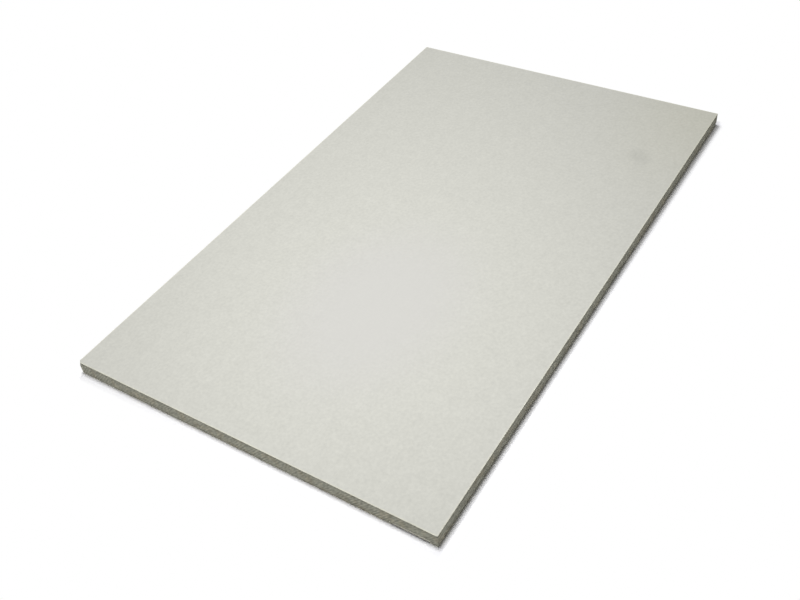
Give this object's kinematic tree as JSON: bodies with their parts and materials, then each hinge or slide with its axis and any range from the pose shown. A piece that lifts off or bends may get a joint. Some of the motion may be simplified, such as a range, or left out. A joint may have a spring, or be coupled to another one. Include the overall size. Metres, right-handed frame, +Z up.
{
  "type": "drywall sheet",
  "caption": "Flat rectangular plasterboard panel with square-cut edges, pale paper faces and bare grey cut sides, lying on its back face.",
  "frame": {"origin": "middle of the back face, on the floor that the sheet lies on", "axes": "+X along the long edges, +Y along the short edges, +Z up out of the front face"},
  "size_m": [0.526, 0.322, 0.0125],
  "materials": {
    "board": "matte"
  },
  "bodies": {
    "root": {"drywall_sheet": "board"}
  },
  "joints": []
}
